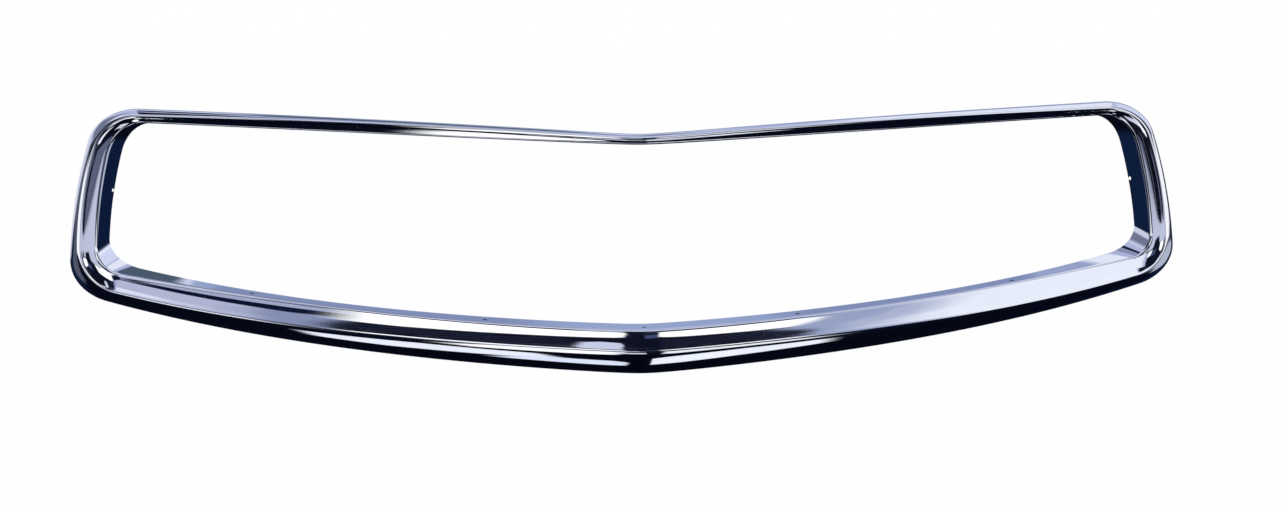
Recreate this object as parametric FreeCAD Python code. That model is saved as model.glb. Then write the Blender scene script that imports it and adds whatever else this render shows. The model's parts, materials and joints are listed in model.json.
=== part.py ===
"""Bright front grille surround with a vee prow, pressed and welded from sheet.

The frame is a hollow open-backed channel that runs round an empty opening. Its section is
followed along five lines: the skirt edge, the outer edge, the crest (foremost ridge), the fold
and the rear edge of the reveal flange. X is across the car, Y points back into the body, Z is up.
The shapes are worked out from the prow of the lower crest, and then moved so that the origin is
midway between the two inner lower studs, on the rear face of their plates.
All sizes are in millimetres.
"""
import FreeCAD, Part

import math
import os

Vector = FreeCAD.Vector

# ---- sheet and plan shape -------------------------------------------------------------------
SHEET = 1.2            # thickness of the bright sheet
SWEEP = 0.113          # each half runs back by this share of its distance from the centre
PROW_RADIUS = 16.0     # softens the vee at the centre plane
LEAN = 0.208           # the frame leans back by this share of its height
LEAN_HEIGHT = 100.0    # height at which the lean is nothing
REACH = 500.0          # distance from the centre over which the rails' rises are given
SEAM = 400.0           # where the rails meet the end pressings

LINES = ("skirt", "outer", "crest", "fold", "flange")

# Height of each line of a rail: at the prow, then its straight, bowed and late rise over REACH.
UPPER = {
    "skirt": (184.0, 30.2, -4.5, -1.0),
    "outer": (186.2, 30.2, -4.5, -1.0),
    "crest": (184.6, 36.5, -16.6, 0.0),
    "fold": (178.2, 20.0, 4.0, -2.5),
    "flange": (177.2, 20.0, 4.0, -3.0),
}
LOWER = {
    "skirt": (-20.0, 24.4, 34.5, 15.1),
    "outer": (-23.2, 24.4, 34.5, 15.1),
    "crest": (0.0, 20.6, 22.5, 20.7),
    "fold": (18.4, 16.0, 44.9, -3.6),
    "flange": (19.5, 15.7, 34.1, 16.1),
}
# Half width of each line of a side: at SIDE_HEIGHT, its change per SIDE_STEP up, and its bow.
SIDE_HEIGHT = 100.0
SIDE_STEP = 100.0
SIDE = {
    "skirt": (501.5, -8.7, -13.0),
    "outer": (503.5, -8.7, -13.0),
    "crest": (494.4, -2.3, -18.6),
    "fold": (479.2, -5.0, -13.4),
    "flange": (472.0, -6.5, -13.4),
}
# Room that a line's rounded corner takes along the rail and along the side.
UPPER_CORNER = {"skirt": (36, 28), "outer": (36, 28), "crest": (33, 28), "fold": (25, 29), "flange": (21, 26)}
LOWER_CORNER = {"skirt": (30, 30), "outer": (30, 30), "crest": (28, 29), "fold": (22, 19), "flange": (28, 20)}
CORNER_FULLNESS = 0.60

# Depth of each line behind the crest.
UPPER_DEPTH = {"skirt": 26.0, "outer": 20.0, "crest": 0.0, "fold": 6.0, "flange": 26.0}
SIDE_DEPTH = {"skirt": 28.0, "outer": 12.0, "crest": 0.0, "fold": 4.0, "flange": 28.0}
LOWER_DEPTH = {"skirt": 30.0, "outer": 24.0, "crest": 0.0, "fold": 5.0, "flange": 29.0}

# Rounding of the section: how far back each bend starts from the line it goes round.
OUTER_BEND = 2.5
CREST_BEND = 3.6
FOLD_BEND = 2.6
# Angles by which the two broad faces leave their chords, in degrees.
UNDERSIDE_CROWN = 14.0
FACE_HOLLOW = 9.0

# ---- fixings --------------------------------------------------------------------------------
# Depths are measured back from the crest, and distances from the centre plane.
PLATE = 2.0                     # thickness of stud plates and tabs
WELD_GAP = 0.1                  # clearance that a weld or a press fit takes up
PLATE_WIDTH = 36.0
PLATE_FOOT = 8.0                # forward-bent foot of a stud plate, along the flange
LOWER_STUDS = (80.0, 255.0)     # distances of the lower studs
SIDE_STUD_HEIGHT = 108.0
WEB_DEPTH = 22.0                # front face of a stud plate's web, at its stud
STUD_RADIUS = 3.0
STUD_LENGTH = 24.0              # behind its plate
STUD_SHOULDER_RADIUS = 3.6      # of the part that is pressed into its plate
STUD_HEAD_RADIUS = 5.0
STUD_HEAD = 1.5                 # thickness of the flat head, in front of its plate
STUD_CHAMFER = 0.8
TABS = (120.0, 320.0)           # distances of the upper tabs
TAB_WIDTH = 24.0
TAB_FRONT = 9.0
TAB_BEND = 27.0                 # in front of this a tab lies on the flange, behind it is level
TAB_BACK = 48.0
TAB_HOLE_DEPTH = 39.0
TAB_HOLE_RADIUS = 3.3
STRAP = 1.5                     # thickness of the straps across joints
STRAP_LENGTH = 36.0
STRAP_INSET = 1.5               # from a strap's rear edge to the edge of the flange
SPLICE_REACH = 29.0             # how far a prow splice runs to each side
FLANGE_HOLES = (0.0, 140.0, 345.0)      # distances of the screw holes in the lower flange
FLANGE_HOLE_RADIUS = 2.1
FLANGE_HOLE_DEPTH = 20.0
SIDE_HOLE_HEIGHT = 136.0
SIDE_HOLE_DEPTH = 23.5


# ---- guide lines ----------------------------------------------------------------------------
def softened(x):
    """Distance from the centre plane, with the vee's tip rounded off."""
    return math.hypot(x, PROW_RADIUS) - PROW_RADIUS


def rail_height(row, x):
    u = softened(x) / REACH
    return row[0] + row[1] * u + row[2] * u ** 2 + row[3] * u ** 4


def side_width(row, z):
    w = (z - SIDE_HEIGHT) / SIDE_STEP
    return row[0] + row[1] * w + row[2] * w ** 2


def placed(x, z, depth):
    """A point of the leaning, swept frame, depth behind its crest surface."""
    return Vector(x, SWEEP * softened(x) + LEAN * (z - LEAN_HEIGHT) + depth, z)


def meeting(rail, side):
    """Where a rail's height and a side's half width meet, before the corner is rounded."""
    z = rail_height(rail, REACH)
    for _ in range(30):
        x = side_width(side, z)
        z = rail_height(rail, x)
    return x, z


def bezier(controls, t):
    """Point and derivative of a Bezier curve."""
    points = list(controls)
    while len(points) > 2:
        points = [a * (1 - t) + b * t for a, b in zip(points, points[1:])]
    return points[0] * (1 - t) + points[1] * t, (points[1] - points[0]) * (len(controls) - 1)


def corner_controls(rail, side, room, upward):
    """Front-view Bezier from the rail to the side. upward is 1 where the side rises from the rail."""
    step = 0.5
    x, z = meeting(rail, side)
    start = Vector(x - room[0], 0, rail_height(rail, x - room[0]))
    top = z + upward * room[1]
    end = Vector(side_width(side, top), 0, top)
    along_rail = Vector(step, 0, rail_height(rail, start.x + step) - start.z)
    along_side = Vector(end.x - side_width(side, top - upward * step), 0, upward * step)
    gap = end - start
    cross = along_rail.x * along_side.z - along_rail.z * along_side.x
    reach = (gap.x * along_side.z - gap.z * along_side.x) / cross
    tip = start + along_rail * reach
    return (start, start + (tip - start) * CORNER_FULLNESS, end + (tip - end) * CORNER_FULLNESS, end)


def blend(a, b, t):
    smooth = t * t * (3 - 2 * t)
    return a * (1 - smooth) + b * smooth


def rail_point(line, upper, x):
    row = UPPER[line] if upper else LOWER[line]
    depth = UPPER_DEPTH[line] if upper else LOWER_DEPTH[line]
    return placed(x, rail_height(row, x), depth)


def corner_point(line, upper, t):
    """A point of the rounded corner, t from 0 at the rail to 1 at the side."""
    rail, room, depth = (
        (UPPER[line], UPPER_CORNER[line], UPPER_DEPTH[line])
        if upper
        else (LOWER[line], LOWER_CORNER[line], LOWER_DEPTH[line])
    )
    flat, _ = bezier(corner_controls(rail, SIDE[line], room, -1 if upper else 1), t)
    return placed(flat.x, flat.z, blend(depth, SIDE_DEPTH[line], t))


def side_point(line, t):
    """A point of the side, t from 0 at the upper corner to 1 at the lower corner."""
    high = corner_controls(UPPER[line], SIDE[line], UPPER_CORNER[line], -1)[3].z
    low = corner_controls(LOWER[line], SIDE[line], LOWER_CORNER[line], 1)[3].z
    z = high + (low - high) * t
    return placed(side_width(SIDE[line], z), z, SIDE_DEPTH[line])


def side_point_at(line, z):
    return placed(side_width(SIDE[line], z), z, SIDE_DEPTH[line])


# ---- sheet section --------------------------------------------------------------------------
def outward(direction, heading):
    """Normal on the bright side of the sheet, for a section running along direction."""
    return direction.cross(heading).normalize()


def unit(start, end):
    return (end - start).normalize()


def section(lines, heading):
    """Bezier pieces of the sheet's bright outline at one station, from the skirt to the flange.

    lines gives the five guide points and heading the direction that the frame runs in there.
    """
    skirt, outer, crest, fold, flange = (lines[name] for name in LINES)
    crown = math.radians(UNDERSIDE_CROWN)
    hollow = math.radians(FACE_HOLLOW)
    down = unit(crest, outer)
    bulge = outward(down, heading) * -math.sin(crown)
    crest_down = down * math.cos(crown) + bulge
    outer_up = down * -math.cos(crown) + bulge
    in_face = unit(crest, fold)
    dip = outward(in_face, heading) * -math.sin(hollow)
    crest_in = in_face * math.cos(hollow) + dip
    fold_out = in_face * -math.cos(hollow) + dip

    outer_start = outer + unit(outer, skirt) * OUTER_BEND
    outer_end = outer + outer_up * OUTER_BEND
    crest_start = crest + crest_down * CREST_BEND
    crest_end = crest + crest_in * CREST_BEND
    fold_start = fold + fold_out * FOLD_BEND
    fold_end = fold + unit(fold, flange) * FOLD_BEND
    under = (crest_start - outer_end).Length / 3
    face = (fold_start - crest_end).Length / 3
    return (
        (skirt, outer_start),
        (outer_start, outer, outer_end),
        (outer_end, outer_end + outer_up * under, crest_start + crest_down * under, crest_start),
        (crest_start, crest, crest_end),
        (crest_end, crest_end + crest_in * face, fold_start + fold_out * face, fold_start),
        (fold_start, fold, fold_end),
        (fold_end, flange),
    )


def hidden_side(controls, heading):
    """The Bezier piece that runs a sheet's thickness behind a bright one."""
    first = outward(controls[1] - controls[0], heading)
    last = outward(controls[-1] - controls[-2], heading)
    start = controls[0] - first * SHEET
    end = controls[-1] - last * SHEET
    if len(controls) == 2:
        return (start, end)
    if len(controls) == 3:
        mitre = (first + last) * (SHEET / (1 + first.dot(last)))
        return (start, controls[1] - mitre, end)
    return (start, start + controls[1] - controls[0], end + controls[2] - controls[3], end)


def stations_of_rail(upper):
    """Stations from the prow to the seam, closer together round the prow."""
    xs = (0.0, 4.0, 8.0, 13.0, 20.0, 30.0, 45.0, 70.0, 110.0, 160.0, 220.0, 280.0, 340.0, SEAM)
    heading = Vector(1, 0, 0) if upper else Vector(-1, 0, 0)
    stations = []
    for x in xs:
        stations.append(({line: rail_point(line, upper, x) for line in LINES}, heading))
    return stations


def stations_of_end():
    """Stations from the upper seam round both corners to the lower seam."""
    corner_steps = 7
    side_steps = 8
    stations = []

    def turned(degrees):
        return Vector(math.cos(math.radians(degrees)), 0, -math.sin(math.radians(degrees)))

    def approach(upper, share):
        """A station between the seam and the corner's start, each line at its own share of the way."""
        points = {}
        for line in LINES:
            start = corner_point(line, upper, 0).x
            points[line] = rail_point(line, upper, SEAM + (start - SEAM) * share)
        return points

    for share in (0.0, 0.5):
        stations.append((approach(True, share), turned(0)))
    for i in range(corner_steps + 1):
        t = i / corner_steps
        stations.append(({line: corner_point(line, True, t) for line in LINES}, turned(90 * t)))
    for i in range(1, side_steps):
        stations.append(({line: side_point(line, i / side_steps) for line in LINES}, turned(90)))
    for i in range(corner_steps + 1):
        t = 1 - i / corner_steps
        stations.append(({line: corner_point(line, False, t) for line in LINES}, turned(180 - 90 * t)))
    for share in (0.5, 0.0):
        stations.append((approach(False, share), turned(180)))
    return stations


def path_parameters(stations):
    """Distance along the frame at each station, averaged over the guide lines."""
    distances = [0.0]
    for (before, _), (after, _) in zip(stations, stations[1:]):
        steps = [(after[line] - before[line]).Length for line in LINES]
        distances.append(distances[-1] + sum(steps) / len(steps))
    return distances


def swept_surface(rows, parameters):
    """A smooth surface whose section at each station is the Bezier with that row of controls."""
    lines = []
    for column in zip(*rows):
        line = Part.BSplineCurve()
        line.interpolate(Points=list(column), Parameters=parameters)
        lines.append(line)
    degree = len(lines) - 1
    surface = Part.BSplineSurface()
    surface.buildFromPolesMultsKnots(
        [line.getPoles() for line in lines],
        [degree + 1, degree + 1],
        lines[0].getMultiplicities(),
        [0.0, 1.0],
        lines[0].getKnots(),
        False,
        False,
        degree,
        lines[0].Degree,
    )
    return surface


def pressing(stations):
    """A closed sheet solid whose sections are those of its stations."""
    parameters = path_parameters(stations)
    bright = [section(lines, heading) for lines, heading in stations]
    hidden = []
    for pieces, (_, heading) in zip(bright, stations):
        hidden.append([hidden_side(controls, heading) for controls in pieces])
    skins = [list(zip(*side)) for side in (bright, hidden)]
    rims = [
        [(b[end][end], h[end][end]) for b, h in zip(bright, hidden)]
        for end in (0, -1)
    ]
    surfaces = [swept_surface(rows, parameters) for rows in skins[0] + skins[1] + rims]
    faces = [surface.toShape() for surface in surfaces]
    for at in (parameters[0], parameters[-1]):
        edges = [surface.vIso(at).toShape() for surface in surfaces]
        faces.append(Part.Face(Part.Wire(Part.__sortEdges__(edges))))
    shell = Part.makeShell(faces)
    shell.sewShape()
    solid = Part.makeSolid(shell)
    if solid.Volume < 0:
        solid.reverse()
    return solid


def mirrored(shape):
    return shape.mirror(Vector(0, 0, 0), Vector(1, 0, 0))


# ---- flange holes ---------------------------------------------------------------------------
def drill(centre, axis, radius, length):
    return Part.makeCylinder(radius, length, centre - axis * (length / 2), axis)


def on_flange(fold, flange, crest, depth):
    """The point of the line from fold to flange that lies at a depth behind the crest."""
    return fold + (flange - fold) * ((crest.y + depth - fold.y) / (flange.y - fold.y))


def lower_flange_hole(x):
    """A vertical drill through the flange of a lower rail."""
    fold, flange, crest = (rail_point(line, False, x) for line in ("fold", "flange", "crest"))
    centre = on_flange(fold, flange, crest, FLANGE_HOLE_DEPTH)
    return drill(centre, Vector(0, 0, 1), FLANGE_HOLE_RADIUS, 8 * SHEET)


def side_flange_hole():
    """A drill square through the flange of the right side."""
    fold, flange, crest = (side_point_at(line, SIDE_HOLE_HEIGHT) for line in ("fold", "flange", "crest"))
    centre = on_flange(fold, flange, crest, SIDE_HOLE_DEPTH)
    along_side = side_point_at("flange", SIDE_HOLE_HEIGHT + 1) - flange
    square = (flange - fold).cross(along_side).normalize()
    return drill(centre, square, FLANGE_HOLE_RADIUS, 4 * SHEET)


# ---- welded plates --------------------------------------------------------------------------
class Channel:
    """The hollow behind the sheet at one place: depth runs back, rise runs in towards the opening."""

    def __init__(self, where, at):
        if where == "side":
            self.lines = {line: side_point_at(line, at) for line in LINES}
            self.inward = Vector(-1, 0, 0)
        else:
            upper = where == "upper"
            self.lines = {line: rail_point(line, upper, at) for line in LINES}
            self.inward = Vector(0, 0, -1) if upper else Vector(0, 0, 1)
        self.base = self.lines["crest"]

    def local(self, line):
        offset = self.lines[line] - self.base
        return offset.y, offset.dot(self.inward)

    def point(self, depth, rise):
        return self.base + Vector(0, depth, 0) + self.inward * rise

    def behind_sheet(self, first, second, depth, side):
        """Rise at a depth, just behind the straight sheet that joins two guide lines.

        side is 1 where the hollow lies above that sheet and -1 where it lies below it.
        """
        depth_a, rise_a = self.local(first)
        depth_b, rise_b = self.local(second)
        slope = (rise_b - rise_a) / (depth_b - depth_a)
        return rise_a + slope * (depth - depth_a) + side * (SHEET + WELD_GAP) * math.hypot(1, slope)

    def under_flange(self, depth):
        return self.behind_sheet("fold", "flange", depth, -1)

    def over_skirt(self, depth):
        return self.behind_sheet("outer", "skirt", depth, 1)

    def stud_foot(self):
        """Middle of the web, on the rear face of a stud plate."""
        back = WEB_DEPTH + PLATE
        return self.point(back, (self.under_flange(back) + self.over_skirt(back)) / 2)


def loft_between(channels, outline, ruled=False):
    """A solid whose section in each channel is the outline that the function gives for it."""
    wires = []
    for channel in channels:
        points = [channel.point(depth, rise) for depth, rise in outline(channel)]
        wires.append(Part.makePolygon(points + points[:1]))
    return Part.makeLoft(wires, True, ruled)


def span(where, at, width):
    return [Channel(where, at + width * share) for share in (-0.5, -0.25, 0.0, 0.25, 0.5)]


def stud_plate(where, at):
    """An L-shaped plate: its web stands square across the channel, its foot lies under the flange."""
    middle = Channel(where, at)

    def outline(channel):
        front = WEB_DEPTH + middle.base.y - channel.base.y
        back = front + PLATE
        foot = front - PLATE_FOOT
        outer_depth, _ = channel.local("outer")
        rest = max(back, outer_depth + OUTER_BEND)
        bottom = channel.over_skirt(rest) + OUTER_BEND / 2
        return (
            (front, bottom),
            (back, bottom),
            (back, channel.under_flange(back)),
            (foot, channel.under_flange(foot)),
            (foot, channel.under_flange(foot) - PLATE),
            (front, channel.under_flange(front) - PLATE),
        )

    plate = loft_between(span(where, at, PLATE_WIDTH), outline)
    hole_radius = STUD_SHOULDER_RADIUS + WELD_GAP
    return plate.cut(drill(middle.stud_foot(), Vector(0, 1, 0), hole_radius, 4 * PLATE))


def stud(where, at):
    """A stud pressed into its plate from the front, so that it points straight back."""
    foot = Channel(where, at).stud_foot()
    axis = Vector(0, 1, 0)
    shank = Part.makeCylinder(STUD_RADIUS, STUD_LENGTH, foot, axis)
    free_end = [edge for edge in shank.Edges if edge.CenterOfMass.y > foot.y + STUD_LENGTH - STUD_CHAMFER]
    chamfered = shank.makeChamfer(STUD_CHAMFER, free_end)
    front = foot - axis * (PLATE + WELD_GAP)
    shoulder = Part.makeCylinder(STUD_SHOULDER_RADIUS, PLATE + WELD_GAP, front, axis)
    head = Part.makeCylinder(STUD_HEAD_RADIUS, STUD_HEAD, front - axis * STUD_HEAD, axis)
    return chamfered.fuse([shoulder, head]).removeSplitter()


def mounting_tab(at):
    """A tab that lies on the upper flange and runs out level behind the frame, with a vertical hole."""

    def outline(channel):
        front = channel.under_flange(TAB_FRONT)
        level = channel.under_flange(TAB_BEND)
        return (
            (TAB_FRONT, front),
            (TAB_BEND, level),
            (TAB_BACK, level),
            (TAB_BACK, level - PLATE),
            (TAB_BEND, level - PLATE),
            (TAB_FRONT, front - PLATE),
        )

    tab = loft_between(span("upper", at, TAB_WIDTH), outline)
    channel = Channel("upper", at)
    centre = channel.point(TAB_HOLE_DEPTH, channel.under_flange(TAB_BEND) - PLATE / 2)
    return tab.cut(drill(centre, Vector(0, 0, 1), TAB_HOLE_RADIUS, 4 * PLATE))


def flange_strap(where, places):
    """A strap welded to the hidden side of the flange, across a joint in the sheet."""

    def outline(channel):
        fold_depth, _ = channel.local("fold")
        flange_depth, _ = channel.local("flange")
        front = fold_depth + 2 * FOLD_BEND
        back = flange_depth - STRAP_INSET
        return (
            (front, channel.under_flange(front)),
            (back, channel.under_flange(back)),
            (back, channel.under_flange(back) - STRAP),
            (front, channel.under_flange(front) - STRAP),
        )

    return loft_between([Channel(where, x) for x in places], outline)


# ---- assembly -------------------------------------------------------------------------------
def bright_pressings():
    """The six visible pressings, right-hand ones first built and then mirrored."""
    lower = pressing(stations_of_rail(upper=False))
    for x in FLANGE_HOLES:
        lower = lower.cut(lower_flange_hole(x))
    upper = pressing(stations_of_rail(upper=True))
    end = pressing(stations_of_end()).cut(side_flange_hole())
    return {"upper_rail": upper, "lower_rail": lower, "end_pressing": end}


def handed_plates():
    """Right-hand welded plates, each of which has a mirrored twin."""
    half = STRAP_LENGTH / 2
    plates = {
        "lower_stud_plate_inner": stud_plate("lower", LOWER_STUDS[0]),
        "lower_stud_plate_outer": stud_plate("lower", LOWER_STUDS[1]),
        "side_stud_plate": stud_plate("side", SIDE_STUD_HEIGHT),
        "upper_tab_inner": mounting_tab(TABS[0]),
        "upper_tab_outer": mounting_tab(TABS[1]),
        "upper_joint_strap": flange_strap("upper", (SEAM - half, SEAM, SEAM + half)),
        "lower_joint_strap": flange_strap("lower", (SEAM - half, SEAM, SEAM + half)),
    }
    return plates


def prow_splice(where):
    """A bent strap behind the prow that joins the two halves of a rail."""
    steps = 4
    places = [SPLICE_REACH * i / steps for i in range(-steps, steps + 1)]
    splice = flange_strap(where, places)
    if where == "lower":
        splice = splice.cut(lower_flange_hole(0.0))
    return splice


def mounting_studs():
    places = [("lower", x) for x in LOWER_STUDS] + [("side", SIDE_STUD_HEIGHT)]
    right = [stud(where, at) for where, at in places]
    return Part.makeCompound(right + [mirrored(shape) for shape in right])


def build():
    shapes = {}
    for name, shape in {**bright_pressings(), **handed_plates()}.items():
        shapes[name + "_right"] = shape
        shapes[name + "_left"] = mirrored(shape)
    for where in ("upper", "lower"):
        shapes[where + "_prow_splice"] = prow_splice(where)
    shapes["mounting_studs"] = mounting_studs()
    foot = Channel("lower", LOWER_STUDS[0]).stud_foot()
    for shape in shapes.values():
        shape.translate(Vector(0, -foot.y, -foot.z))
    return shapes


def main():
    os.makedirs("parts", exist_ok=True)
    for name, shape in build().items():
        if not shape.isValid():
            print("not valid:", name)
        box = shape.BoundBox
        print(f"{name:32s} solids {len(shape.Solids)} volume {shape.Volume:9.1f}  "
              f"x {box.XMin:7.1f} {box.XMax:7.1f}  y {box.YMin:6.1f} {box.YMax:6.1f}  "
              f"z {box.ZMin:6.1f} {box.ZMax:6.1f}")
        shape.exportStep(f"parts/{name}.step")


main()
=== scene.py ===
"""Looks of the bright grille surround: polished chrome sheet, dull backs, plated fixings."""

import json
import math

import bmesh
import bpy
import numpy as np
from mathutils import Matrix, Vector


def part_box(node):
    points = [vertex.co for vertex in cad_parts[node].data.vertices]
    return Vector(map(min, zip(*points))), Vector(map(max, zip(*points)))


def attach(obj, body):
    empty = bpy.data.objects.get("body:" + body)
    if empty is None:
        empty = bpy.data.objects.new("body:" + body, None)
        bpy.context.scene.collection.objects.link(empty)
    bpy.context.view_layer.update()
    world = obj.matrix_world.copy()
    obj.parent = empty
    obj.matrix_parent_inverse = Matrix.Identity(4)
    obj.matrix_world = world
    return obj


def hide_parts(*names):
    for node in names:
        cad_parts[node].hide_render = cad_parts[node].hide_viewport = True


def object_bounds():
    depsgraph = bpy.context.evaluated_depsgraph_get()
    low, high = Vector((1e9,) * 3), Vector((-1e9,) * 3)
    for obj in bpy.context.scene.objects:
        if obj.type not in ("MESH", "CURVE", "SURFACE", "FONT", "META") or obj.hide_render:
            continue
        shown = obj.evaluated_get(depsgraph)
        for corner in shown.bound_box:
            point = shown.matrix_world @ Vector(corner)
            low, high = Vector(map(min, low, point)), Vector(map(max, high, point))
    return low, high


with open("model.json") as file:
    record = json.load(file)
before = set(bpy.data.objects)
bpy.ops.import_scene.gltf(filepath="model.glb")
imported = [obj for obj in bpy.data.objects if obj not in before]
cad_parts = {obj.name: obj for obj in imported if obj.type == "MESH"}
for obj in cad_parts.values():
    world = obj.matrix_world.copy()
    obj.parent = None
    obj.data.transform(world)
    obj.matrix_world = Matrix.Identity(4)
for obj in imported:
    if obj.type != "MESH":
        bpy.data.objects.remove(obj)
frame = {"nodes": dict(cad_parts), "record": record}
cad_low, cad_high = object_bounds()

MM = 0.001

# ---- shape of the bright sheet, as in the design, in its millimetres --------------------------
SHEET = 1.2            # thickness of the bright sheet
SWEEP = 0.113          # each half runs back by this share of its distance from the centre
PROW_RADIUS = 16.0     # softens the vee at the centre plane
LEAN = 0.208           # the frame leans back by this share of its height
LEAN_HEIGHT = 100.0    # height at which the lean is nothing
REACH = 500.0          # distance from the centre over which the rails' rises are given
SEAM = 400.0           # where the rails meet the end pressings
LINES = ("skirt", "outer", "crest", "fold", "flange")

# Height of each line of a rail: at the prow, then its straight, bowed and late rise over REACH.
UPPER = {
    "skirt": (184.0, 30.2, -4.5, -1.0),
    "outer": (186.2, 30.2, -4.5, -1.0),
    "crest": (184.6, 36.5, -16.6, 0.0),
    "fold": (178.2, 20.0, 4.0, -2.5),
    "flange": (177.2, 20.0, 4.0, -3.0),
}
LOWER = {
    "skirt": (-20.0, 24.4, 34.5, 15.1),
    "outer": (-23.2, 24.4, 34.5, 15.1),
    "crest": (0.0, 20.6, 22.5, 20.7),
    "fold": (18.4, 16.0, 44.9, -3.6),
    "flange": (19.5, 15.7, 34.1, 16.1),
}

# Half width of each line of a side: at SIDE_HEIGHT, its change per SIDE_STEP up, and its bow.
SIDE_HEIGHT = 100.0
SIDE_STEP = 100.0
SIDE = {
    "skirt": (501.5, -8.7, -13.0),
    "outer": (503.5, -8.7, -13.0),
    "crest": (494.4, -2.3, -18.6),
    "fold": (479.2, -5.0, -13.4),
    "flange": (472.0, -6.5, -13.4),
}

# Room that a line's rounded corner takes along the rail and along the side.
UPPER_CORNER = {"skirt": (36, 28), "outer": (36, 28), "crest": (33, 28), "fold": (25, 29), "flange": (21, 26)}
LOWER_CORNER = {"skirt": (30, 30), "outer": (30, 30), "crest": (28, 29), "fold": (22, 19), "flange": (28, 20)}
CORNER_FULLNESS = 0.60

# Depth of each line behind the crest.
UPPER_DEPTH = {"skirt": 26.0, "outer": 20.0, "crest": 0.0, "fold": 6.0, "flange": 26.0}
SIDE_DEPTH = {"skirt": 28.0, "outer": 12.0, "crest": 0.0, "fold": 4.0, "flange": 28.0}
LOWER_DEPTH = {"skirt": 30.0, "outer": 24.0, "crest": 0.0, "fold": 5.0, "flange": 29.0}

# Rounding of the section: how far back each bend starts from the line it goes round.
OUTER_BEND = 2.5
CREST_BEND = 3.6
FOLD_BEND = 2.6
# Angles by which the two broad faces leave their chords, in degrees.
UNDERSIDE_CROWN = 14.0
FACE_HOLLOW = 9.0

# How finely the sheet is divided along the frame.
PROW_STRETCH = 20.0    # distance from the centre over which the stations crowd together
PROW_STATIONS = 16
PROW_CROWDING = 1.3
RAIL_STEP = 2.5        # between stations on the rest of a rail
APPROACH_STATIONS = 16
CORNER_STATIONS = 32
SIDE_STATIONS = 48
# How finely each piece of the section is divided, from the skirt to the flange.
PIECE_STEPS = (6, 8, 20, 12, 16, 8, 16)
MEETING_ROUNDS = 30    # repeats after which the point where a rail meets a side stays put
SLOPE_STEP = 0.5       # length over which a line's direction is taken


def softened(x):
    """Distance from the centre plane, with the vee's tip rounded off."""
    return math.hypot(x, PROW_RADIUS) - PROW_RADIUS


def rail_height(row, x):
    u = softened(x) / REACH
    return row[0] + row[1] * u + row[2] * u ** 2 + row[3] * u ** 4


def side_width(row, z):
    w = (z - SIDE_HEIGHT) / SIDE_STEP
    return row[0] + row[1] * w + row[2] * w ** 2


def placed(x, z, depth):
    """A point of the leaning, swept frame, depth behind its crest surface."""
    return np.array((x, SWEEP * softened(x) + LEAN * (z - LEAN_HEIGHT) + depth, z))


def meeting(rail, side):
    """Where a rail's height and a side's half width meet, before the corner is rounded."""
    z = rail_height(rail, REACH)
    for _ in range(MEETING_ROUNDS):
        x = side_width(side, z)
        z = rail_height(rail, x)
    return x, z


def bezier(controls, t):
    """A point of a Bezier curve."""
    points = list(controls)
    while len(points) > 1:
        points = [a * (1 - t) + b * t for a, b in zip(points, points[1:])]
    return points[0]


def corner_controls(rail, side, room, upward):
    """Front-view Bezier from the rail to the side. upward is 1 where the side rises from the rail."""
    x, z = meeting(rail, side)
    start = np.array((x - room[0], rail_height(rail, x - room[0])))
    top = z + upward * room[1]
    end = np.array((side_width(side, top), top))
    along_rail = np.array((SLOPE_STEP, rail_height(rail, start[0] + SLOPE_STEP) - start[1]))
    before_end = side_width(side, top - upward * SLOPE_STEP)
    along_side = np.array((end[0] - before_end, upward * SLOPE_STEP))
    gap = end - start
    cross = along_rail[0] * along_side[1] - along_rail[1] * along_side[0]
    reach = (gap[0] * along_side[1] - gap[1] * along_side[0]) / cross
    tip = start + along_rail * reach
    return start, start + (tip - start) * CORNER_FULLNESS, end + (tip - end) * CORNER_FULLNESS, end


def blend(a, b, t):
    """From a to b as t goes from 0 to 1, with no slope at either end."""
    smooth = t * t * (3 - 2 * t)
    return a * (1 - smooth) + b * smooth


def rail_point(line, upper, x):
    row = UPPER[line] if upper else LOWER[line]
    depth = UPPER_DEPTH[line] if upper else LOWER_DEPTH[line]
    return placed(x, rail_height(row, x), depth)


CORNERS = {}
for line in LINES:
    CORNERS[line, True] = corner_controls(UPPER[line], SIDE[line], UPPER_CORNER[line], -1)
    CORNERS[line, False] = corner_controls(LOWER[line], SIDE[line], LOWER_CORNER[line], 1)


def corner_point(line, upper, t):
    """A point of the rounded corner, t from 0 at the rail to 1 at the side."""
    depth = UPPER_DEPTH[line] if upper else LOWER_DEPTH[line]
    x, z = bezier(CORNERS[line, upper], t)
    return placed(x, z, blend(depth, SIDE_DEPTH[line], t))


def side_point(line, t):
    """A point of the side, t from 0 at the upper corner to 1 at the lower corner."""
    high = CORNERS[line, True][3][1]
    low = CORNERS[line, False][3][1]
    z = high + (low - high) * t
    return placed(side_width(SIDE[line], z), z, SIDE_DEPTH[line])


def unit(v):
    return v / np.linalg.norm(v)


def outward(direction, heading):
    """Normal on the bright side of the sheet, for a section running along direction."""
    return unit(np.cross(direction, heading))


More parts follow.
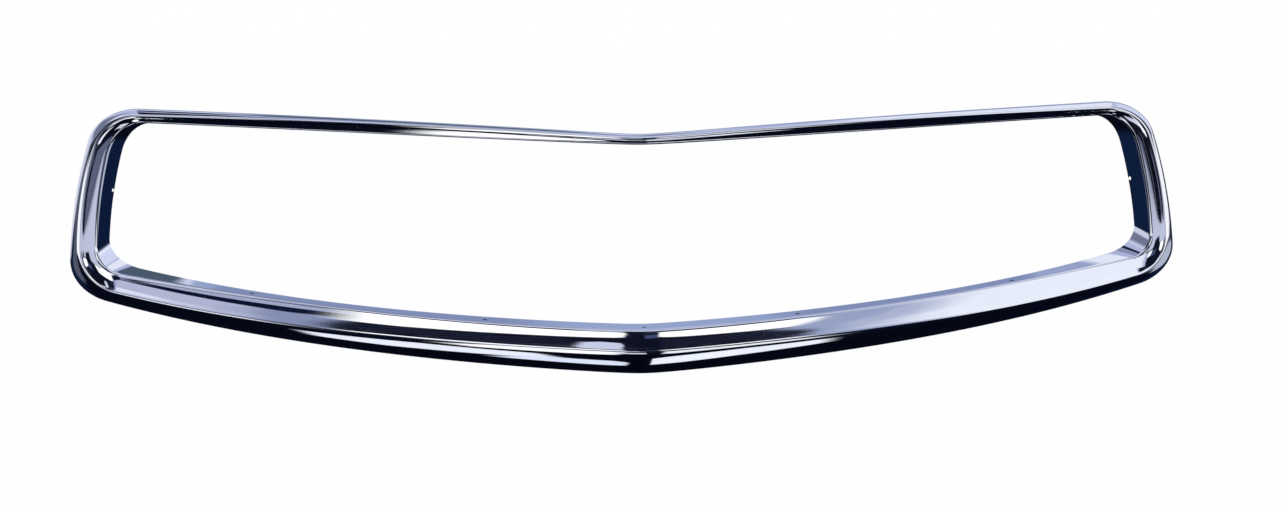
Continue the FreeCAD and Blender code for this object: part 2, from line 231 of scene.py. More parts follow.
def section(lines, heading):
    """Bezier pieces of the sheet's bright outline at one station, from the skirt to the flange."""
    skirt, outer, crest, fold, flange = (lines[name] for name in LINES)
    crown = math.radians(UNDERSIDE_CROWN)
    hollow = math.radians(FACE_HOLLOW)
    down = unit(outer - crest)
    bulge = outward(down, heading) * -math.sin(crown)
    crest_down = down * math.cos(crown) + bulge
    outer_up = down * -math.cos(crown) + bulge
    in_face = unit(fold - crest)
    dip = outward(in_face, heading) * -math.sin(hollow)
    crest_in = in_face * math.cos(hollow) + dip
    fold_out = in_face * -math.cos(hollow) + dip
    outer_start = outer + unit(skirt - outer) * OUTER_BEND
    outer_end = outer + outer_up * OUTER_BEND
    crest_start = crest + crest_down * CREST_BEND
    crest_end = crest + crest_in * CREST_BEND
    fold_start = fold + fold_out * FOLD_BEND
    fold_end = fold + unit(flange - fold) * FOLD_BEND
    under = np.linalg.norm(crest_start - outer_end) / 3
    face = np.linalg.norm(fold_start - crest_end) / 3
    return (
        (skirt, outer_start),
        (outer_start, outer, outer_end),
        (outer_end, outer_end + outer_up * under, crest_start + crest_down * under, crest_start),
        (crest_start, crest, crest_end),
        (crest_end, crest_end + crest_in * face, fold_start + fold_out * face, fold_start),
        (fold_start, fold, fold_end),
        (fold_end, flange),
    )


def heading_at(degrees):
    """The direction that the frame runs in after it has turned by so many degrees."""
    return np.array((math.cos(math.radians(degrees)), 0.0, -math.sin(math.radians(degrees))))


def approach(upper, share):
    """Guide points between a seam and the start of its corner. Each line's corner starts elsewhere."""
    points = {}
    for line in LINES:
        start = CORNERS[line, upper][0][0]
        points[line] = rail_point(line, upper, SEAM + (start - SEAM) * share)
    return points


def end_stations():
    """Stations of the right end pressing, from its upper seam to its lower seam."""
    made = []
    for i in range(APPROACH_STATIONS):
        made.append((approach(True, i / APPROACH_STATIONS), heading_at(0)))
    for i in range(CORNER_STATIONS):
        t = i / CORNER_STATIONS
        made.append(({line: corner_point(line, True, t) for line in LINES}, heading_at(90 * t)))
    for i in range(SIDE_STATIONS):
        made.append(({line: side_point(line, i / SIDE_STATIONS) for line in LINES}, heading_at(90)))
    for i in range(CORNER_STATIONS):
        t = 1 - i / CORNER_STATIONS
        made.append(({line: corner_point(line, False, t) for line in LINES}, heading_at(180 - 90 * t)))
    for i in range(APPROACH_STATIONS + 1):
        made.append((approach(False, 1 - i / APPROACH_STATIONS), heading_at(180)))
    return made


def stations():
    """Stations of the right half from the upper prow to the lower prow, with the pressing each is in."""
    crowded = [PROW_STRETCH * (i / PROW_STATIONS) ** PROW_CROWDING for i in range(PROW_STATIONS)]
    distances = crowded + list(np.arange(PROW_STRETCH, SEAM + 0.1, RAIL_STEP))
    made = []
    for x in distances:
        made.append(("upper", {line: rail_point(line, True, x) for line in LINES}, heading_at(0)))
    made += [("end",) + station for station in end_stations()]
    for x in reversed(distances):
        made.append(("lower", {line: rail_point(line, False, x) for line in LINES}, heading_at(180)))
    return made


def section_points(pieces, heading):
    """Bright points, hidden points and bright normals of one section, from skirt to flange."""
    bright, hidden = [], []
    for controls, steps in zip(pieces, PIECE_STEPS):
        last = controls is pieces[-1]
        for i in range(steps + (1 if last else 0)):
            t = i / steps
            at = bezier(controls, t)
            slopes = [b - a for a, b in zip(controls, controls[1:])]
            normal = outward(bezier(slopes, t), heading)
            bright.append(at)
            hidden.append(at - normal * SHEET)
    return np.array(bright), np.array(hidden)


def half_frame():
    """Bright and hidden grids of the right half (station, place across, xyz), and pressing names."""
    bright, hidden, names = [], [], []
    for name, lines, heading in stations():
        b, h = section_points(section(lines, heading), heading)
        bright.append(b)
        hidden.append(h)
        names.append(name)
    return np.array(bright), np.array(hidden), names


def grid_normals(grid, sign):
    """Smooth normals of a grid from its central differences, square to the centre plane at its ends."""
    along = np.gradient(grid, axis=0)
    across = np.gradient(grid, axis=1)
    normals = np.cross(across, along) * sign
    normals[0, :, 0] = 0.0
    normals[-1, :, 0] = 0.0
    return normals / np.linalg.norm(normals, axis=2, keepdims=True)


def running_length(points, axis):
    """Distance run along one axis of a grid, from its first point."""
    steps = np.linalg.norm(np.diff(points, axis=axis), axis=2)
    pad = [(0, 0), (0, 0)]
    pad[axis] = (1, 0)
    return np.cumsum(np.pad(steps, pad), axis=axis)


# Both grids are moved from the design's own place to the place where the CAD's lower rail sits.
BRIGHT, HIDDEN, PRESSING = half_frame()
lower_rows = [i for i, name in enumerate(PRESSING) if name == "lower"]
lowest = np.vstack((BRIGHT[lower_rows].reshape(-1, 3), HIDDEN[lower_rows].reshape(-1, 3))).min(axis=0)
SHIFT = np.array(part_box("lower_rail_right")[0]) / MM - lowest
SHIFT[0] = 0.0
BRIGHT += SHIFT
HIDDEN += SHIFT
BRIGHT_NORMALS = grid_normals(BRIGHT, 1)
HIDDEN_NORMALS = grid_normals(HIDDEN, -1)
ALONG = running_length(BRIGHT, 0)
ACROSS = running_length(BRIGHT, 1)


def patch(grid, normals, along, across, flip):
    """One grid as flat lists: corners, normals, UVs, quads."""
    rows, width = grid.shape[:2]
    i, j = np.meshgrid(np.arange(rows - 1), np.arange(width - 1), indexing="ij")
    a = (i * width + j).ravel()
    b = a + width
    quads = np.stack((a, b, b + 1, a + 1), axis=1)
    if flip:
        quads = quads[:, ::-1]
    uv = np.stack((along.ravel(), across.ravel()), axis=1)
    return grid.reshape(-1, 3), normals.reshape(-1, 3), uv, quads


def pressing_patches(label, side):
    """Bright face, hidden face and two long rims of one pressing, each with its material's index."""
    rows = [i for i, pressing_name in enumerate(PRESSING) if pressing_name == label]
    mirror = np.array((side, 1.0, 1.0))
    bright, hidden = BRIGHT[rows] * mirror, HIDDEN[rows] * mirror
    bright_n, hidden_n = BRIGHT_NORMALS[rows] * mirror, HIDDEN_NORMALS[rows] * mirror
    along, across = ALONG[rows] * MM, ACROSS[rows] * MM
    patches = [
        (patch(bright, bright_n, along, across, side > 0), 0),
        (patch(hidden, hidden_n, along, across, side < 0), 1),
    ]
    for edge, other in ((0, 1), (-1, -2)):
        rim = np.stack((bright[:, edge], hidden[:, edge]), axis=1)
        out = bright[:, edge] - bright[:, other]
        out /= np.linalg.norm(out, axis=1, keepdims=True)
        rim_n = np.stack((out, out), axis=1)
        across_rim = np.stack((across[:, edge], across[:, edge] + SHEET * MM), axis=1)
        along_rim = np.stack((along[:, edge],) * 2, axis=1)
        patches.append((patch(rim, rim_n, along_rim, across_rim, (side > 0) != (edge == 0)), 1))
    return patches


def pressing(name, side, materials):
    """One visible pressing. side is 1 for the right half and -1 for its mirror image."""
    points, normals, uvs, quads, slots = [], [], [], [], []
    start = 0
    for (p, n, uv, q), slot in pressing_patches(name.split("_")[0], side):
        points.append(p * MM)
        normals.append(n)
        uvs.append(uv)
        quads.append(q + start)
        slots.append(np.full(len(q), slot))
        start += len(p)
    points, normals, uvs = np.vstack(points), np.vstack(normals), np.vstack(uvs)
    quads, slots = np.vstack(quads), np.concatenate(slots)
    mesh = bpy.data.meshes.new(name)
    mesh.from_pydata(points.tolist(), [], quads.tolist())
    for material in materials:
        mesh.materials.append(material)
    mesh.polygons.foreach_set("material_index", slots.astype(np.int32))
    mesh.polygons.foreach_set("use_smooth", np.ones(len(quads), bool))
    layer = mesh.uv_layers.new(name="wrap")
    layer.data.foreach_set("uv", uvs[quads.ravel()].astype(np.float32).ravel())
    mesh.normals_split_custom_set_from_vertices(normals.tolist())
    mesh.update()
    node = name + ("_right" if side > 0 else "_left")
    piece = bpy.data.objects.new(node + "_sheet", mesh)
    bpy.context.scene.collection.objects.link(piece)
    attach(piece, "root")
    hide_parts(node)


# ---- materials -------------------------------------------------------------------------------
class NodeMaker:
    """Adds nodes to a tree and joins them up."""

    def __init__(self, tree):
        self.tree = tree

    def add(self, kind, **settings):
        node = self.tree.nodes.new(kind)
        for name, value in settings.items():
            setattr(node, name, value)
        return node

    def put(self, socket, value):
        if isinstance(value, bpy.types.NodeSocket):
            self.tree.links.new(value, socket)
        else:
            socket.default_value = value

    def math(self, operation, *values):
        node = self.add("ShaderNodeMath", operation=operation)
        for socket, value in zip(node.inputs, values):
            self.put(socket, value)
        return node.outputs[0]

    def vector(self, x, y, z):
        node = self.add("ShaderNodeCombineXYZ")
        for socket, value in zip(node.inputs, (x, y, z)):
            self.put(socket, value)
        return node.outputs[0]

    def dot(self, a, b):
        node = self.add("ShaderNodeVectorMath", operation="DOT_PRODUCT")
        self.put(node.inputs[0], a)
        self.put(node.inputs[1], b)
        return node.outputs["Value"]

    def smooth(self, value, low, high, to_low=0.0, to_high=1.0):
        """From to_low to to_high as the value goes from low to high, easing at both."""
        node = self.add("ShaderNodeMapRange", interpolation_type="SMOOTHSTEP")
        for socket, given in zip(node.inputs, (value, low, high, to_low, to_high)):
            self.put(socket, given)
        return node.outputs[0]

    def mix(self, share, a, b):
        node = self.add("ShaderNodeMix", data_type="RGBA")
        self.put(node.inputs["Factor"], share)
        self.put(node.inputs[6], a)
        self.put(node.inputs[7], b)
        return node.outputs[2]

    def stretch(self, where, scale):
        node = self.add("ShaderNodeMapping")
        self.put(node.inputs["Vector"], where)
        node.inputs["Scale"].default_value = scale
        return node.outputs[0]

    def noise(self, where, scale, detail=2.0):
        node = self.add("ShaderNodeTexNoise")
        self.put(node.inputs["Vector"], where)
        node.inputs["Scale"].default_value = scale
        node.inputs["Detail"].default_value = detail
        return node.outputs["Fac"]

    def bump(self, height, distance, under=None):
        node = self.add("ShaderNodeBump")
        node.inputs["Strength"].default_value = 1.0
        node.inputs["Distance"].default_value = distance
        self.put(node.inputs["Height"], height)
        if under is not None:
            self.put(node.inputs["Normal"], under)
        return node.outputs[0]


def new_material(name):
    material = bpy.data.materials.new(name)
    material.use_nodes = True
    return material


class Finish(NodeMaker):
    """One surface finish: its shader and the two sets of coordinates it is worked out from."""

    def __init__(self, name, metallic=1.0):
        self.material = new_material(name)
        super().__init__(self.material.node_tree)
        self.shader = self.tree.nodes["Principled BSDF"]
        self.shader.inputs["Metallic"].default_value = metallic
        coordinates = self.add("ShaderNodeTexCoord")
        self.place = coordinates.outputs["Object"]
        self.wrap = coordinates.outputs["UV"]

    def wear(self, colour, roughness, normal, alpha=None):
        """Joins what was worked out to the shader."""
        names = ("Base Color", "Roughness", "Normal", "Alpha")
        for name, value in zip(names, (colour, roughness, normal, alpha)):
            if value is not None:
                self.put(self.shader.inputs[name], value)


HOLE_RADIUS = 0.00215

CLEAR_CHROME = (0.88, 0.885, 0.90, 1)
HAZY_CHROME = (0.84, 0.85, 0.875, 1)
CHROME_PIT = (0.45, 0.45, 0.47, 1)
GREY_SHEET = (0.36, 0.365, 0.37, 1)
DARK_SHEET = (0.22, 0.225, 0.235, 1)
RUST = (0.16, 0.075, 0.035, 1)
YELLOWED_ZINC = (0.62, 0.61, 0.56, 1)
GREY_ZINC = (0.47, 0.475, 0.48, 1)
WHITE_RUST = (0.72, 0.72, 0.70, 1)
BRIGHT_STEEL = (0.56, 0.56, 0.565, 1)
STAINED_STEEL = (0.40, 0.385, 0.37, 1)
# painted shade for the bottoms of the studs' thread grooves
GROOVE_SHADE = (0.12, 0.115, 0.11, 1)

# Depths of the finishes' unevenness, in metres.
WAVE_DEPTH = 0.00006
PEEL_DEPTH = 0.0000012
SCUFF_DEPTH = 0.0000008
SPECKLE_DEPTH = 0.00003
DRAWING_DEPTH = 0.00001
SPANGLE_DEPTH = 0.00002
THREAD_DEPTH = 0.00012
THREAD_PITCH = 0.001


def hole_centres():
    """Centres of the flange holes on the right half, from the record's mounts."""
    centres = []
    for mount in frame["record"]["mounts"]:
        if "flange" not in mount["name"] or mount["name"].endswith("left"):
            continue
        x, y, z = mount["pos_m"]
        centres.append((x + mount["dims"].get("spacing_x_mm", 0.0) * MM / 2, y, z))
    return centres


def pierced(finish):
    """1 on the sheet and 0 inside each of its flange holes."""
    split = finish.add("ShaderNodeSeparateXYZ")
    finish.put(split.inputs[0], finish.place)
    x, y, z = split.outputs
    folded = finish.vector(finish.math("ABSOLUTE", x), y, z)
    nearest = None
    for centre in hole_centres():
        gap = finish.add("ShaderNodeVectorMath", operation="DISTANCE")
        finish.put(gap.inputs[0], folded)
        gap.inputs[1].default_value = centre
        away = gap.outputs["Value"]
        nearest = away if nearest is None else finish.math("MINIMUM", nearest, away)
    return finish.math("GREATER_THAN", nearest, HOLE_RADIUS)


def polished_chrome():
    """Mirror plating with faint haze, wiping marks and pits, over a slightly wavy sheet."""
    f = Finish("polished_chrome")
    haze = f.noise(f.place, scale=14.0, detail=4.0)
    wipe = f.noise(f.stretch(f.wrap, (18.0, 900.0, 1.0)), scale=1.0, detail=3.0)
    pitted = f.smooth(f.noise(f.place, scale=1500.0, detail=2.0), 0.70, 0.76)
    colour = f.mix(f.smooth(haze, 0.35, 0.7), CLEAR_CHROME, HAZY_CHROME)
    colour = f.mix(pitted, colour, CHROME_PIT)
    hazy_rough = f.smooth(haze, 0.3, 0.75, 0.016, 0.04)
    wiped_rough = f.smooth(wipe, 0.55, 0.85, 0.0, 0.035)
    rough = f.math("ADD", hazy_rough, wiped_rough)
    rough = f.math("ADD", rough, f.math("MULTIPLY", pitted, 0.25))
    waves = f.bump(f.noise(f.place, scale=18.0, detail=1.0), WAVE_DEPTH)
    peel = f.bump(f.noise(f.place, scale=420.0, detail=2.0), PEEL_DEPTH, waves)
    scuffs = f.bump(wipe, SCUFF_DEPTH, peel)
    f.wear(colour, rough, scuffs, pierced(f))
    return f.material


def dull_back():
    """Mottled grey inside of the sheet, with drawing marks and a little rust."""
    f = Finish("dull_sheet_back", metallic=0.35)
    cloud = f.noise(f.place, scale=22.0, detail=6.0)
    speckle = f.noise(f.place, scale=350.0, detail=3.0)
    drawn = f.noise(f.stretch(f.wrap, (8.0, 260.0, 1.0)), scale=1.0, detail=3.0)
    colour = f.mix(f.smooth(cloud, 0.35, 0.65), GREY_SHEET, DARK_SHEET)
    rust = f.math("MULTIPLY", f.smooth(cloud, 0.58, 0.72), f.smooth(speckle, 0.5, 0.66))
    colour = f.mix(rust, colour, RUST)
    rough = f.math("ADD", f.smooth(cloud, 0.3, 0.7, 0.34, 0.52), f.math("MULTIPLY", rust, 0.35))
    grain = f.bump(drawn, DRAWING_DEPTH)
    f.wear(colour, rough, f.bump(speckle, SPECKLE_DEPTH, grain), pierced(f))
    return f.material


def zinc_plate():
    """Spangled zinc plating on the plates, tabs, straps and splices, with some white rust."""
    f = Finish("zinc_plate", metallic=0.6)
    patches = f.noise(f.place, scale=60.0, detail=5.0)
    grains = f.add("ShaderNodeTexVoronoi")
    f.put(grains.inputs["Vector"], f.place)
    grains.inputs["Scale"].default_value = 480.0
    spangle = grains.outputs["Distance"]
    colour = f.mix(f.smooth(patches, 0.35, 0.7), YELLOWED_ZINC, GREY_ZINC)
    white_rust = f.smooth(patches, 0.66, 0.78)
    colour = f.mix(f.math("MULTIPLY", white_rust, 0.6), colour, WHITE_RUST)
    rough = f.math("ADD", f.smooth(spangle, 0.1, 0.8, 0.3, 0.46), f.math("MULTIPLY", white_rust, 0.25))
    f.wear(colour, rough, f.bump(f.math("ADD", spangle, patches), SPANGLE_DEPTH))
    return f.material


def stud_steel():
    """Plain steel with thread grooves across the studs' length, with painted shade in the bottoms of the
    grooves.
    """
    f = Finish("stud_steel", metallic=0.7)
    split = f.add("ShaderNodeSeparateXYZ")
    f.put(split.inputs[0], f.place)
    turn = f.math("SINE", f.math("MULTIPLY", split.outputs[1], 2 * math.pi / THREAD_PITCH))
    stain = f.noise(f.place, scale=140.0, detail=4.0)
    colour = f.mix(f.smooth(stain, 0.35, 0.7), BRIGHT_STEEL, STAINED_STEEL)
    # painted shade: the colour darkens towards the bottom of each thread groove
    colour = f.mix(f.smooth(turn, -1.0, -0.2, 0.55, 0.0), colour, GROOVE_SHADE)
    rough = f.smooth(stain, 0.3, 0.75, 0.26, 0.42)
    f.wear(colour, rough, f.bump(turn, THREAD_DEPTH))
    return f.material


chrome, back, zinc, studs = polished_chrome(), dull_back(), zinc_plate(), stud_steel()
for side in (1, -1):
    for name in ("upper_rail", "end_pressing", "lower_rail"):
        pressing(name, side, (chrome, back))
for node, fixing in frame["nodes"].items():
    if "rail" in node or "pressing" in node:
        continue
    for material_slot in fixing.material_slots:
        material_slot.material = studs if node == "mounting_studs" else zinc


# ---- camera ----------------------------------------------------------------------------------
CAMERA_PLACE = np.array((-159.2, -1607.0, 338.2)) + SHIFT    # in the design's millimetres
CAMERA_YAW = 5.656          # degrees to the right of straight back
CAMERA_PITCH = 9.0          # degrees down
FOCAL_PIXELS = 1861.3
IMAGE_WIDTH = 1288.0
SENSOR = 36.0
CLIP_START = 0.05
CLIP_END = 100.0
camera_data = bpy.data.cameras.new("camera")
camera_data.sensor_width = SENSOR
camera_data.lens = FOCAL_PIXELS * SENSOR / IMAGE_WIDTH
camera_data.clip_start = CLIP_START
camera_data.clip_end = CLIP_END
camera = bpy.data.objects.new("camera", camera_data)
camera.location = Vector(CAMERA_PLACE * MM)
camera.rotation_euler = (math.radians(90 - CAMERA_PITCH), 0.0, -math.radians(CAMERA_YAW))
bpy.context.scene.collection.objects.link(camera)
bpy.context.scene.camera = camera


# ---- surroundings ----------------------------------------------------------------------------
CHROME_REFLECTANCE = 0.88
LEAST_LEVEL = 1e-4          # keeps straight up and straight down out of divisions


def linear(value):
    """Linear light of an 8-bit display value."""
    value /= 255.0
    return value / 12.92 if value <= 0.04045 else ((value + 0.055) / 1.055) ** 2.4


def seen_colour(rgb):
    """The light that polished chrome reflects as this 8-bit display colour."""
    return tuple(linear(v) / CHROME_REFLECTANCE for v in rgb) + (1.0,)


class Surroundings(NodeMaker):
    """The studio that the chrome reflects, painted by direction. The backdrop hides it from the camera.

    Places are given in degrees, in four ways: front is azimuth from straight ahead of the object
    (-Y) and elevation, rear is azimuth from straight behind it (+Y) and elevation, and below and
    above are X and Y distances from straight down and from straight up.
    """

    def __init__(self, tree):
        super().__init__(tree)
        direction = self.add("ShaderNodeTexCoord").outputs["Generated"]
        split = self.add("ShaderNodeSeparateXYZ")
        self.put(split.inputs[0], direction)
        x, y, z = split.outputs
        squares = self.math("ADD", self.math("MULTIPLY", x, x), self.math("MULTIPLY", y, y))
        level = self.math("MAXIMUM", self.math("SQRT", squares), LEAST_LEVEL)
        azimuth = self.math("DEGREES", self.math("ARCTAN2", x, self.math("MULTIPLY", y, -1.0)))
        behind = self.math("DEGREES", self.math("ARCTAN2", x, y))
        elevation = self.math("DEGREES", self.math("ARCTAN2", z, level))
        along = (self.math("DIVIDE", x, level), self.math("DIVIDE", y, level))
        from_nadir = self.math("ADD", elevation, 90.0)
        from_zenith = self.math("SUBTRACT", 90.0, elevation)
        self.front = self.vector(azimuth, elevation, 1.0)
        self.rear = self.vector(behind, elevation, 1.0)
        self.below = self.vector(*(self.math("MULTIPLY", from_nadir, share) for share in along), 1.0)
        self.above = self.vector(*(self.math("MULTIPLY", from_zenith, share) for share in along), 1.0)
        self.colour = self.base_sky(self.math("DIVIDE", from_nadir, 180.0))

    def base_sky(self, height):
        """The colours of BASE_SKY, from straight down to straight up."""
        ramp = self.add("ShaderNodeValToRGB")
        self.put(ramp.inputs[0], height)
        elements = ramp.color_ramp.elements
        for element, (degrees, rgb) in zip(elements, (BASE_SKY[0], BASE_SKY[-1])):
            element.position = (degrees + 90) / 180
            element.color = seen_colour(rgb)
        for degrees, rgb in BASE_SKY[1:-1]:
            elements.new((degrees + 90) / 180).color = seen_colour(rgb)
        return ramp.outputs[0]

    def area(self, where, corners, soft):
        """1 inside a convex outline and 0 outside it, soft degrees wide at the edge."""
        edges = list(zip(corners, corners[1:] + corners[:1]))
        turn = sum(a[0] * b[1] - a[1] * b[0] for a, b in edges)
        nearest = None
        for (ax, ay), (bx, by) in edges:
            length = math.copysign(math.hypot(bx - ax, by - ay), turn)
            nx, ny = (ay - by) / length, (bx - ax) / length
            inside = self.dot(where, (nx, ny, -(nx * ax + ny * ay)))
            nearest = inside if nearest is None else self.math("MINIMUM", nearest, inside)
        return self.smooth(nearest, -soft, soft)

    def paint(self, where, patches):
        """Lays patches over what is there, each by its outline, edge, colour and any extra brightness."""
        for corners, soft, rgb, *bright in patches:
            colour = tuple(light * math.prod(bright) for light in seen_colour(rgb)[:3]) + (1.0,)
            self.colour = self.mix(self.area(where, corners, soft), self.colour, colour)

    def paint_arcs(self, gaps):
        """Lays faint arcs over the dark gaps between the panels in front."""
        wave = self.math("SINE", self.dot(self.front, ARC_WAVE))
        arcs = self.smooth(wave, 0.55, 1.0, 0.0, ARC_STRENGTH)
        for gap in gaps:
            share = self.math("MULTIPLY", self.area(self.front, gap, ARC_EDGE), arcs)
            self.colour = self.mix(share, self.colour, seen_colour(ARC_COLOUR))


def rectangle(left, low, right, high):
    return [(left, low), (right, low), (right, high), (left, high)]


# Elevation in degrees, and colour as chrome shows it.
BASE_SKY = (
    (-90, (3, 5, 14)),
    (-10, (8, 12, 28)),
    (0, (14, 20, 38)),
    (20, (14, 18, 36)),
    (54, (14, 18, 34)),
    (61, (110, 115, 140)),
    (68, (205, 210, 232)),
    (90, (205, 210, 232)),
)
# Each patch is a convex outline in degrees, how soft its edge is, and its colour as chrome shows it.
# Behind: navy walls at both sides, a pale sweep over them, a lavender band between, its pale edge.
BEHIND = (
    (rectangle(-75, -34, -40, 6), 7, (14, 29, 57)),
    (rectangle(33, -34, 62, 6), 7, (12, 26, 55)),
    (rectangle(-78, 9, 78, 100), 9, (205, 212, 238)),
    (rectangle(-30, 3, 30, 17), 1.2, (126, 139, 178)),
    (rectangle(-9, 14.5, 9, 17.5), 1.2, (146, 160, 198)),
)
# Overhead, towards the rear: a lavender sweep, its dim far right and pale right, two dark bars on
# the left, and between them and the sweep a grey part and a teal part beyond it.
OVERHEAD = (
    (rectangle(-26, 20, 30, 62), 2.5, (172, 180, 215)),
    ([(9, 62), (27, 58), (27, 72), (9, 72)], 1.2, (148, 159, 197)),
    ([(12.8, 10), (27, 10), (27, 62.5), (13, 62.5)], 1.5, (224, 228, 243)),
    ([(-15, 6), (-8.0, 6), (-8.0, 43.5), (-14, 43.5)], 0.8, (18, 22, 42)),
    ([(-14, 49.5), (-8.0, 49.5), (-8.0, 61), (-13, 61)], 0.8, (16, 21, 42)),
    (rectangle(-7.5, 8, 2, 46), 1.5, (134, 143, 176)),
    ([(-7.6, 50.5), (7, 49.5), (6, 69), (-7.6, 71)], 1.5, (72, 88, 105)),
)
# Left of the front: a grey wall, a pale panel, a dark panel and a white strip.
FRONT_LEFT = (
    ([(-152, 17), (-68, 24), (-58, 42), (-152, 45)], 5, (112, 117, 142)),
    ([(-162, -8), (-136, -6), (-121, 2), (-118, 14), (-162, 14)], 2, (205, 208, 224)),
    ([(-110, -34), (-92, -30), (-72, -3), (-70, 17), (-110, 17)], 3, (80, 85, 104)),
    ([(-72, 7), (-24, 9), (-24, 18.5), (-72, 18)], 1.5, (246, 247, 253)),
)
# Right of the front: a grey panel, a white strip and a pale panel.
FRONT_RIGHT = (
    ([(48, -16), (108, -38), (121, -24), (117, -4), (50, 2)], 3, (172, 180, 200)),
    ([(28, 9), (116, 0), (119, 14), (28, 17)], 1.5, (245, 246, 252)),
    ([(110, 8), (142, 9), (142, 17), (110, 16)], 4, (228, 234, 250)),
)
# Straight ahead and low: a grey band, a pale band over it with a dark gap, and a white post.
LOW_AHEAD = (
    (rectangle(-13, 6.5, 24, 13), 1.2, (90, 97, 121)),
    ([(-15, 13.4), (23, 13.4), (20, 21), (-13, 21.5)], 0.8, (190, 195, 218)),
    ([(2, 16), (15, 16.8), (15, 25), (-1, 25)], 1.0, (16, 20, 36)),
    (rectangle(-26, -4, -19.4, 15.5), 1.0, (238, 240, 248)),
)
# The panel ahead on the left: lavender, paler twice towards its top, with a foot and a navy mark.
LEFT_PANEL = (
    ([(-32, 18), (-15.2, 33), (-17.0, 56), (-32, 56)], 0.5, (133, 143, 177)),
    ([(-32, 28), (-17.9, 30), (-18.2, 57), (-32, 57)], 0.7, (177, 182, 209)),
    ([(-32, 47), (-19.2, 50), (-19.4, 58), (-32, 58)], 0.9, (228, 231, 250)),
    ([(-24, 20.5), (-15.4, 20.5), (-15.4, 25), (-24, 26)], 0.5, (160, 167, 195)),
    ([(-21.8, 30.5), (-20.5, 25.4), (-16.2, 24.8), (-15.8, 31.5), (-17.0, 33.8)], 0.6, (10, 18, 44)),
)
# Two bright windows, with a pale strip over the left one and a blue pane between them.
WINDOWS = (
    ([(-15.7, 21.5), (-4.0, 22), (-4.4, 30), (-13.9, 36.6), (-15.5, 36)], 0.9, (255, 255, 255), 1.25),
    (
        [(-7.6, 56), (-3.2, 56), (-3.2, 49.5), (-4.4, 43), (-6.6, 41.5), (-7.6, 44)],
        0.4,
        (200, 205, 230),
    ),
    ([(5.5, 26), (14, 25), (14, 31), (6.5, 32)], 1.4, (66, 78, 112)),
    ([(14.4, 23), (24.4, 21.5), (24.4, 33), (14.4, 28.8)], 0.9, (255, 255, 255), 1.25),
)
# The panel ahead on the right: its lavender edge and its pale middle.
RIGHT_PANEL = (
    ([(24.2, 17), (60, 17), (60, 58), (31.5, 58), (24.2, 36)], 0.5, (150, 162, 195)),
    ([(27.6, 17), (60, 17), (60, 60), (33.6, 58), (27.8, 38)], 2.0, (234, 238, 250)),
)
# Just under the horizon: strips that the turn of the crest picks up on the left, right and centre.
UNDER_HORIZON = (
    (
        [(-20, -90), (-8, -90), (-7, -40), (-9, -32), (-14, -32), (-19, -60)],
        1.0,
        (250, 251, 255),
        1.1,
    ),
    ([(24, -86), (36, -84), (32, -58), (20, -45), (17, -50)], 1.5, (238, 240, 248)),
    ([(-10, -82), (7.5, -80), (7, -60), (-9, -60)], 1.0, (208, 211, 225)),
)
# Bright windows that the underside sees, two on the left and one on the right.
UNDERNEATH = (
    (
        [(-19.4, -5), (-15, -16.3), (-9.6, -18), (-7.5, -9), (-7.5, 4), (-13.8, 6), (-16.3, 11)],
        0.7,
        (236, 240, 253),
    ),
    ([(-9, -9.6), (-4.6, -9.6), (-1.6, -6), (-1.4, 3.2), (-4, 4.2), (-9, 4.2)], 0.7, (222, 229, 250)),
    ([(8, 0.6), (9.6, -17), (21, -20), (24.4, -17), (22.5, -4), (15, 1.0)], 0.7, (240, 244, 255)),
)
ARC_GAPS = (
    [(-15, 38.5), (-8.3, 38.5), (-8.6, 54), (-16.2, 54)],
    [(15.5, 35), (23.5, 36), (29, 54), (19, 54)],
)
ARC_WAVE = (2.9, 1.35, 0.0)     # how fast the arcs follow each other across and up
ARC_STRENGTH = 0.42
ARC_EDGE = 1.2
ARC_COLOUR = (72, 76, 100)

world = bpy.data.worlds.new("studio")
bpy.context.scene.world = world
world.use_nodes = True
studio = Surroundings(world.node_tree)
studio.paint(studio.rear, BEHIND)
studio.paint(studio.above, OVERHEAD)
studio.paint(studio.front, FRONT_LEFT + FRONT_RIGHT + LOW_AHEAD + LEFT_PANEL + WINDOWS + RIGHT_PANEL)
studio.paint_arcs(ARC_GAPS)
studio.paint(studio.below, UNDER_HORIZON + UNDERNEATH)
background = studio.tree.nodes["Background"]
studio.put(background.inputs["Color"], studio.colour)


# ---- floor and backdrop ----------------------------------------------------------------------
DOME_RADIUS = 20.0
FLOOR_RADIUS = 6.0
FLOOR_GAP = 0.002           # between the floor and the lowest point of the object
HIDDEN_RAYS = ("visible_glossy", "visible_diffuse", "visible_transmission", "visible_shadow")


def glow(name):
    """A new material with nothing but an emission shader, its node maker and that shader."""
    material = new_material(name)
    maker = NodeMaker(material.node_tree)
    maker.tree.nodes.remove(maker.tree.nodes["Principled BSDF"])
    emission = maker.add("ShaderNodeEmission")
    maker.put(maker.tree.nodes["Material Output"].inputs["Surface"], emission.outputs[0])
    return material, maker, emission


def pale_glow(name, rgb):
    """An even glow that shows as this 8-bit display colour."""
    material, _, emission = glow(name)
    emission.inputs["Color"].default_value = tuple(linear(v) for v in rgb) + (1.0,)
    return material


def stage_piece(name, mesh, material):
    """Part of the stage. Only the camera sees it, unless the caller changes that."""
    piece = bpy.data.objects.new(name, mesh)
    mesh.materials.append(material)
    bpy.context.scene.collection.objects.link(piece)
    for ray in HIDDEN_RAYS:
        setattr(piece, ray, False)
    return piece


def grown_mesh(name, grow, **sizes):
    """A mesh made by one of bmesh's own shapes."""
    shape = bmesh.new()
    grow(shape, **sizes)
    mesh = bpy.data.meshes.new(name)
    shape.to_mesh(mesh)
    shape.free()
    return mesh


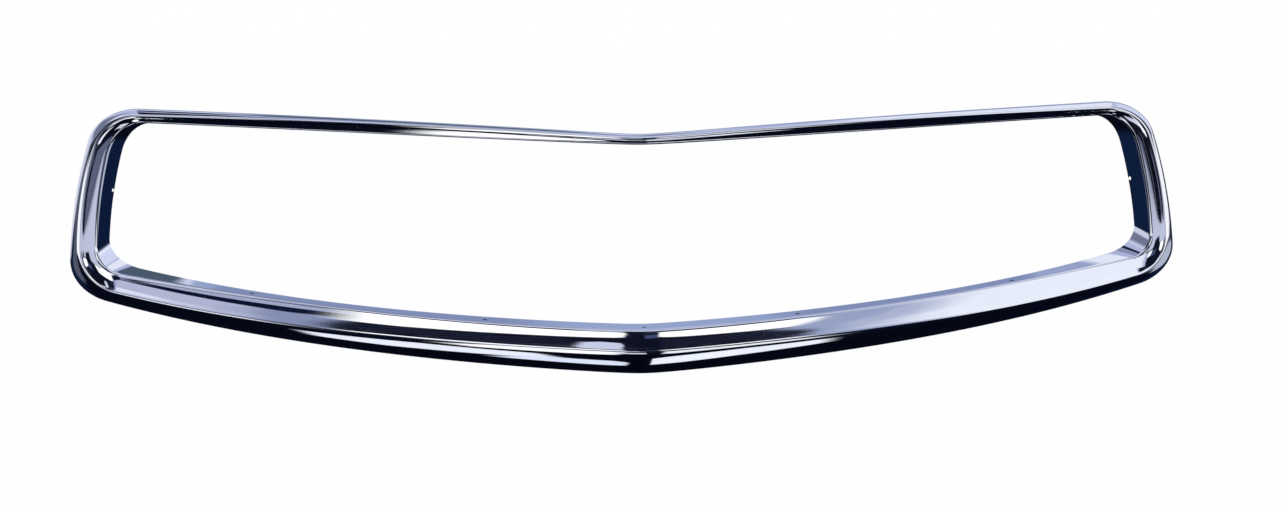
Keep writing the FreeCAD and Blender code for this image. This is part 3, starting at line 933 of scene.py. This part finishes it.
dome_mesh = grown_mesh(
    "backdrop", bmesh.ops.create_uvsphere, u_segments=48, v_segments=24, radius=DOME_RADIUS
)
stage_piece("backdrop", dome_mesh, pale_glow("white_backdrop", (255, 255, 255)))
floor_mesh = grown_mesh(
    "floor", bmesh.ops.create_circle, cap_ends=True, segments=64, radius=FLOOR_RADIUS
)
floor = stage_piece("floor", floor_mesh, pale_glow("pale_floor", (254, 254, 255)))
floor.location.z = cad_low.z - FLOOR_GAP


# ---- cards seen only in the chrome -----------------------------------------------------------
def card(name, low, high, y, colours, steps, streaks=None):
    """A glowing upright card that shows only as a reflection.

    low and high are its corners in x and z. Its second colour takes over from its first between
    the two steps, which are values of a streaked noise, or places in x where there are no streaks.
    """
    material, maker, emission = glow(name)
    place = maker.add("ShaderNodeTexCoord").outputs["Object"]
    if streaks:
        pattern = maker.noise(maker.stretch(place, streaks), scale=1.0, detail=3.0)
    else:
        split = maker.add("ShaderNodeSeparateXYZ")
        maker.put(split.inputs[0], place)
        pattern = split.outputs[0]
    first, second = (seen_colour(rgb) for rgb in colours)
    maker.put(emission.inputs["Color"], maker.mix(maker.smooth(pattern, *steps), first, second))
    mesh = bpy.data.meshes.new(name)
    outline = rectangle(*low, *high)
    mesh.from_pydata([(x, y, z) for x, z in outline], [], [(0, 1, 2, 3)])
    piece = stage_piece(name, mesh, material)
    piece.visible_camera = False
    piece.visible_glossy = True


card(
    "dark_card",
    low=(0.17, 0.15),
    high=(1.15, 0.615),
    y=-2.0,
    colours=((13, 15, 27), (84, 90, 104)),
    steps=(0.54, 0.64),
    streaks=(9.0, 1.0, 2.2),
)
card(
    "white_card",
    low=(0.97, 0.72),
    high=(1.6, 1.75),
    y=-1.5,
    colours=((172, 181, 208), (232, 236, 249)),
    steps=(1.0, 1.16),
)


# ---- lamps -----------------------------------------------------------------------------------
LAMP_AIM = Vector((0.0, 0.03, 0.08))    # near the middle of the object


def soft_light(name, place, size, power):
    """A broad soft lamp that lights the dull surfaces and doesn't show in the chrome."""
    lamp = bpy.data.lights.new(name, "AREA")
    lamp.shape = "SQUARE"
    lamp.size = size
    lamp.energy = power
    holder = bpy.data.objects.new(name, lamp)
    holder.location = place
    holder.rotation_euler = (LAMP_AIM - Vector(place)).to_track_quat("-Z", "Y").to_euler()
    holder.visible_glossy = False
    holder.visible_camera = False
    bpy.context.scene.collection.objects.link(holder)


soft_light("rear_light", place=(0.5, 2.1, 1.1), size=1.6, power=60.0)
soft_light("low_rear_light", place=(-0.9, 1.8, 0.1), size=1.2, power=26.0)
soft_light("top_light", place=(-0.6, -1.2, 1.8), size=1.6, power=30.0)

bpy.context.scene.view_settings.view_transform = "Standard"
